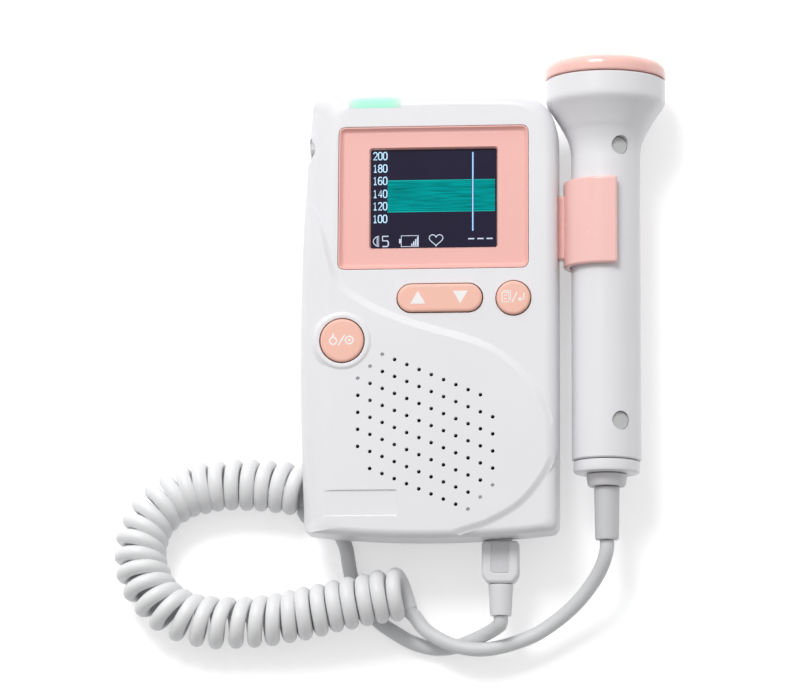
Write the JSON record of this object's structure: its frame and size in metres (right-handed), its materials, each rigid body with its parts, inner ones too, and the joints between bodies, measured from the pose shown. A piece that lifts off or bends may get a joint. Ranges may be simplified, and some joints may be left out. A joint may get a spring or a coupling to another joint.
{
  "type": "fetal doppler monitor",
  "caption": "Handheld fetal doppler monitor with a screen, keys and speaker grille, a round-headed probe in a side clip, and a curly lead that plugs into the foot of the case.",
  "frame": {"origin": "on the rest plane, under the middle of the case with its probe (the free lead and its plug left out)", "axes": "+Z out of the screen, which faces up as the case lies on its back; +Y from the case's foot to its head, where the probe's round head is; +X from the case to the probe"},
  "size_m": [0.1712, 0.1856, 0.038],
  "materials": {
    "white_housing": "smooth glossy white",
    "pink_trim": "satin peach pink",
    "pink_keys": "satin peach pink",
    "light_cord": "satin light grey",
    "grey_caps": "matt grey",
    "lcd_dark": "glossy dark navy",
    "mint_lens": "clear mint green",
    "led_green": "clear green",
    "board_green": "solder mask green",
    "steel": "bright",
    "black_plastic": "matt black",
    "speaker_frame_black": "black",
    "speaker_paper": "matt grey",
    "battery_sleeve": "black sleeve",
    "ceramic": "matt cream",
    "backing_foam": "matt black"
  },
  "bodies": {
    "case": {"back_shell": "white_housing", "battery_contact_bridge": "steel", "battery_contact_left": "steel", "battery_contact_right": "steel", "battery_left": "battery_sleeve", "battery_right": "battery_sleeve", "battery_spring_left": "steel", "battery_spring_right": "steel", "case_screw_1": "steel", "case_screw_2": "steel", "case_screw_3": "steel", "case_screw_4": "steel", "cord_curly": "light_cord", "cord_to_plug": "light_cord", "cord_to_probe": "light_cord", "earphone_jack": "black_plastic", "front_shell": "white_housing", "lcd_module": "black_plastic", "lcd_window": "lcd_dark", "light_pipe": "mint_lens", "main_board": "board_green", "probe_clip": "pink_trim", "screen_bezel": "pink_trim", "speaker_cone": "speaker_paper", "speaker_frame": "speaker_frame_black", "speaker_magnet": "steel", "status_led_1": "led_green", "status_led_2": "led_green", "tact_switch_1": "black_plastic", "tact_switch_2": "black_plastic", "tact_switch_3": "black_plastic", "tact_switch_4": "black_plastic", "usb_socket": "steel"},
    "power_key": {"power_button": "pink_keys"},
    "menu_key": {"menu_button": "pink_keys"},
    "rocker": {"rocker_key": "pink_keys"},
    "door": {"battery_door": "white_housing"},
    "probe": {"probe_shell_front": "white_housing", "probe_shell_back": "white_housing", "probe_screw_1": "steel", "probe_screw_2": "steel", "probe_screw_cover_1": "grey_caps", "probe_screw_cover_2": "grey_caps", "probe_face": "pink_trim", "crystal_left": "ceramic", "crystal_right": "ceramic", "transducer_backing": "backing_foam", "probe_board": "board_green", "probe_end_collar": "white_housing", "cord_gland": "grey_caps", "strain_relief": "light_cord"},
    "plug": {"plug_body": "light_cord", "plug_tongue": "steel", "plug_relief": "light_cord"}
  },
  "joints": [
    {"name": "power_press", "type": "slide", "parent": "case", "child": "power_key", "axis": [0, 0, -1], "range_m": [0, 0.0006], "stiffness_N_per_m": 400},
    {"name": "menu_press", "type": "slide", "parent": "case", "child": "menu_key", "axis": [0, 0, -1], "range_m": [0, 0.0006], "stiffness_N_per_m": 400},
    {"name": "rocker_tilt", "type": "hinge", "parent": "case", "child": "rocker", "pos_m": [-0.01342, -0.00137, 0.0247], "axis": [0, 1, 0], "range_deg": [-3, 3], "stiffness_Nm_per_rad": 0.4},
    {"name": "door_slide", "type": "slide", "parent": "case", "child": "door", "axis": [0, -1, 0], "range_m": [0, 0.012]},
    {"name": "probe_release", "type": "slide", "parent": "case", "child": "probe", "axis": [1, 0, 0], "range_m": [0, 0.03], "deforming": ["cord_to_probe"]},
    {"name": "plug_pull", "type": "slide", "parent": "case", "child": "plug", "axis": [0, -1, 0], "range_m": [0, 0.007], "deforming": ["cord_to_plug"]}
  ]
}
